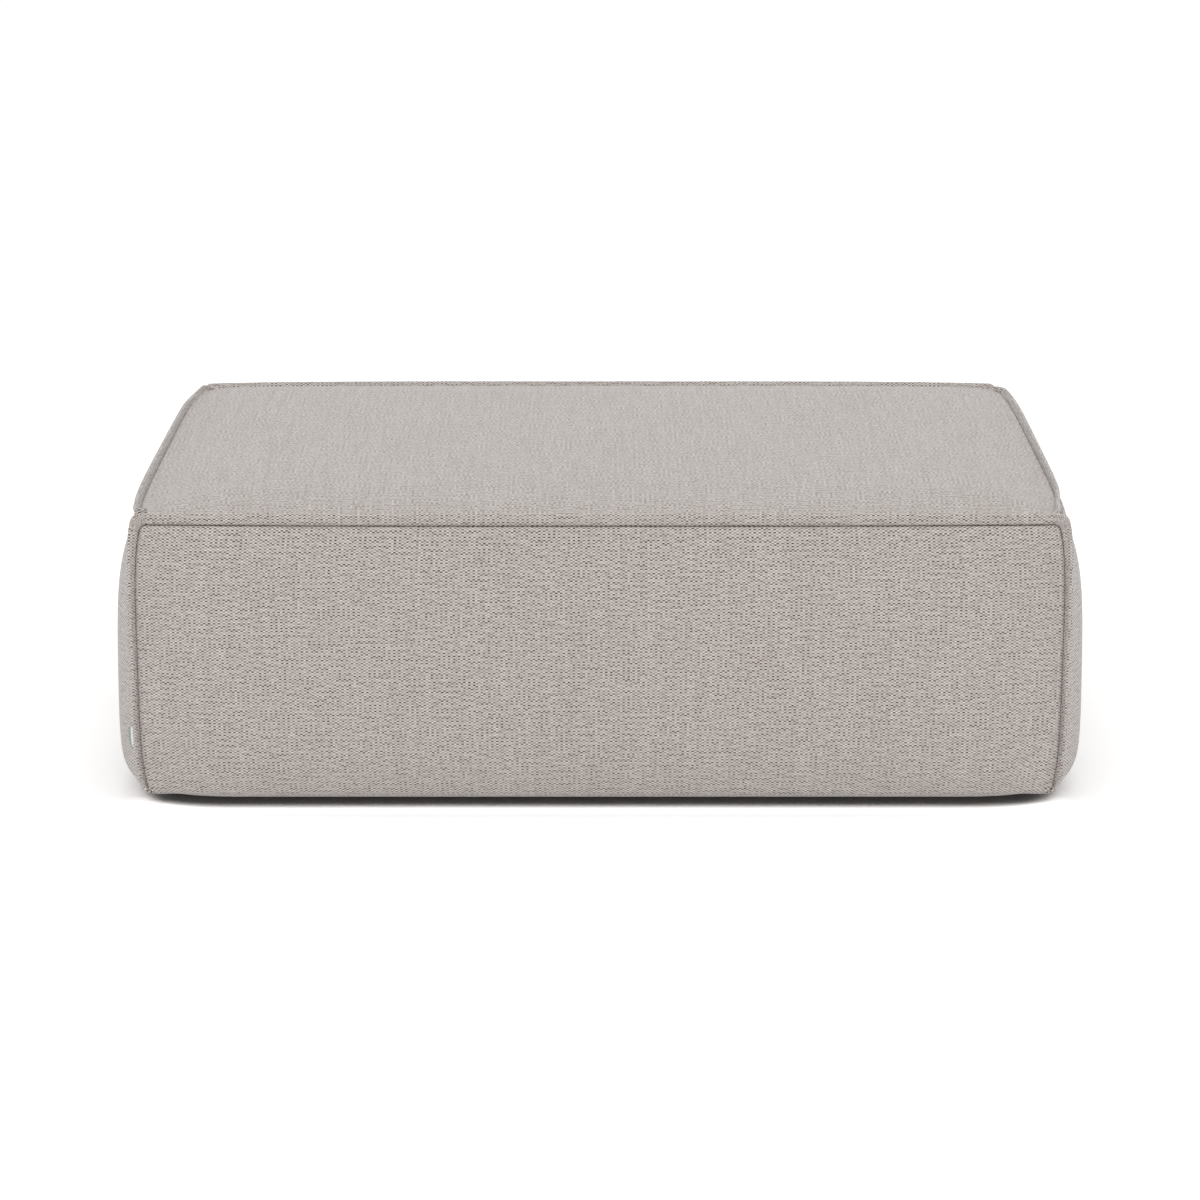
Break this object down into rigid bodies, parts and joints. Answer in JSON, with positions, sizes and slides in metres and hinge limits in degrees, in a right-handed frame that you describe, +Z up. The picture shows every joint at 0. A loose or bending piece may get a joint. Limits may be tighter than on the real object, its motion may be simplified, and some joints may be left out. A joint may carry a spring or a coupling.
{
  "type": "ottoman",
  "caption": "Wide, low upholstered ottoman with a crowned top, rounded sides, pinched seam ridges and low hidden glides, over a timber frame with webbing and foam.",
  "frame": {"origin": "floor plane under the glides, at the centre of the plan", "axes": "+X to the right along the long front, +Y from the front to the back, +Z up"},
  "size_m": [1.1996, 0.8416, 0.38],
  "materials": {
    "cover_cloth": "matte",
    "tag_cloth": "matte",
    "timber": "matte",
    "board": "matte",
    "foam": "matte",
    "wadding": "matte",
    "webbing": "matte",
    "dust_cloth": "matte",
    "steel": "satin",
    "glide_plastic": "satin"
  },
  "bodies": {
    "root": {"cover_top": "cover_cloth", "cover_front": "cover_cloth", "cover_back": "cover_cloth", "cover_left": "cover_cloth", "cover_right": "cover_cloth", "ridge_front": "cover_cloth", "ridge_back": "cover_cloth", "ridge_left": "cover_cloth", "ridge_right": "cover_cloth", "blank_tag": "tag_cloth", "base_rail_front": "timber", "base_rail_back": "timber", "base_rail_left": "timber", "base_rail_right": "timber", "centre_rail": "timber", "top_rail_front": "timber", "top_rail_back": "timber", "top_rail_left": "timber", "top_rail_right": "timber", "spreader_rail": "timber", "corner_post_front_left": "timber", "corner_post_front_right": "timber", "corner_post_back_left": "timber", "corner_post_back_right": "timber", "mid_post_front": "timber", "mid_post_back": "timber", "board_front": "board", "board_back": "board", "board_left": "board", "board_right": "board", "seat_foam": "foam", "top_foam": "foam", "pad_front": "foam", "pad_back": "foam", "pad_left": "foam", "pad_right": "foam", "top_wadding": "wadding", "webbing_across": "webbing", "webbing_along": "webbing", "dust_cloth": "dust_cloth", "frame_screws": "steel", "webbing_staples": "steel", "dust_cloth_staples": "steel", "glide_screws": "steel", "glide_front_left": "glide_plastic", "glide_front_middle": "glide_plastic", "glide_front_right": "glide_plastic", "glide_back_left": "glide_plastic", "glide_back_middle": "glide_plastic", "glide_back_right": "glide_plastic"}
  },
  "joints": []
}
